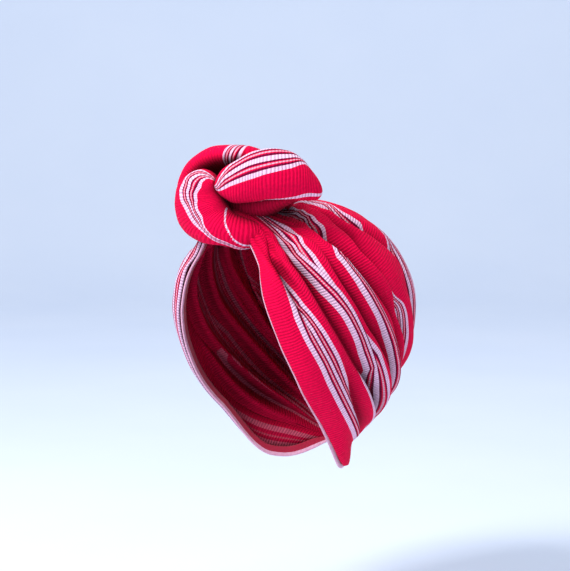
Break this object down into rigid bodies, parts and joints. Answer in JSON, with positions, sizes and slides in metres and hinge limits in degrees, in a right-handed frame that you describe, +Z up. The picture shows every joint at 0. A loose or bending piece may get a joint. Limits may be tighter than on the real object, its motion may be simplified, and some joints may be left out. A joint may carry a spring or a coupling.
{
  "type": "pre-tied turban",
  "caption": "Pre-tied turban of striped rib knit: a pleated cap gathered at the front and nape, with a large rolled knot at the top front.",
  "frame": {"origin": "the inside top of the crown, where it rests on the top of the wearer's head", "axes": "+Z up, the wearer faces -Y, +X towards the wearer's left"},
  "size_m": [0.1696, 0.2001, 0.2532],
  "materials": {
    "striped_rib_knit": "matte rib knit, crimson with groups of pinkish white stripes",
    "hem_cloth": "matte turned edge, pale pink"
  },
  "bodies": {
    "root": {"crown": "striped_rib_knit", "face_hem": "hem_cloth", "knot_loop": "striped_rib_knit", "knot_roll": "striped_rib_knit", "knot_crest": "striped_rib_knit", "knot_wrap": "striped_rib_knit"}
  },
  "joints": []
}
